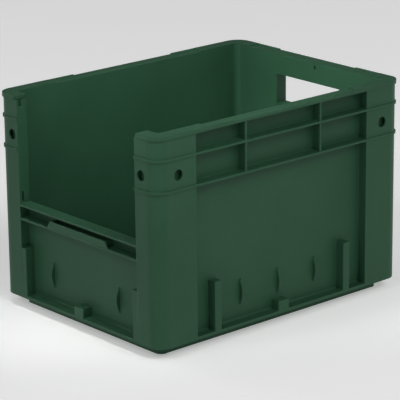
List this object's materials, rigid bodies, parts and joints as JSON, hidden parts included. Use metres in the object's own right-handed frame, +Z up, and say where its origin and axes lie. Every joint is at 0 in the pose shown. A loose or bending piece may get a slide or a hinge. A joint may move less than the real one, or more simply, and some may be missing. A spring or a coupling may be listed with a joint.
{
  "type": "open-front stacking crate",
  "caption": "Rectangular moulded stacking crate with a half-open front, hollow ribbed corner posts, a rear hand grip, a label pocket and an inset foot.",
  "frame": {"origin": "middle of the standing face, on the floor under the middle of the crate", "axes": "+Z up, -Y the open picking front, +Y the rear with the hand grip, +X the right side seen from the front"},
  "size_m": [0.3, 0.4, 0.27],
  "materials": {
    "moulded_pp": "satin moulded polypropylene, bottle green"
  },
  "bodies": {
    "root": {"floor_plate": "moulded_pp", "underside_ribs": "moulded_pp", "foot_front": "moulded_pp", "foot_rear": "moulded_pp", "foot_left": "moulded_pp", "foot_right": "moulded_pp", "ledge_front": "moulded_pp", "ledge_rear": "moulded_pp", "ledge_left": "moulded_pp", "ledge_right": "moulded_pp", "wall_left": "moulded_pp", "wall_right": "moulded_pp", "wall_rear": "moulded_pp", "wall_front": "moulded_pp", "sill": "moulded_pp", "label_rib": "moulded_pp", "label_plate": "moulded_pp", "post_front_left": "moulded_pp", "post_front_right": "moulded_pp", "post_rear_left": "moulded_pp", "post_rear_right": "moulded_pp", "post_return_left": "moulded_pp", "post_return_right": "moulded_pp", "rim_left": "moulded_pp", "rim_right": "moulded_pp", "rim_rear": "moulded_pp", "rim_pad_front_left": "moulded_pp", "rim_pad_front_right": "moulded_pp", "rim_pad_rear_left": "moulded_pp", "rim_pad_rear_right": "moulded_pp", "post_bands": "moulded_pp", "cell_bands_left": "moulded_pp", "cell_bands_right": "moulded_pp", "cell_bands_rear": "moulded_pp", "cell_ribs_left": "moulded_pp", "cell_ribs_right": "moulded_pp", "grip_collar": "moulded_pp", "stiffeners_left": "moulded_pp", "stiffeners_right": "moulded_pp", "stiffeners_front": "moulded_pp", "stiffeners_rear": "moulded_pp", "fins_left": "moulded_pp", "fins_right": "moulded_pp", "fins_front": "moulded_pp", "fins_rear": "moulded_pp", "catch_left": "moulded_pp", "catch_right": "moulded_pp", "catch_front": "moulded_pp", "catch_rear": "moulded_pp"}
  },
  "joints": []
}
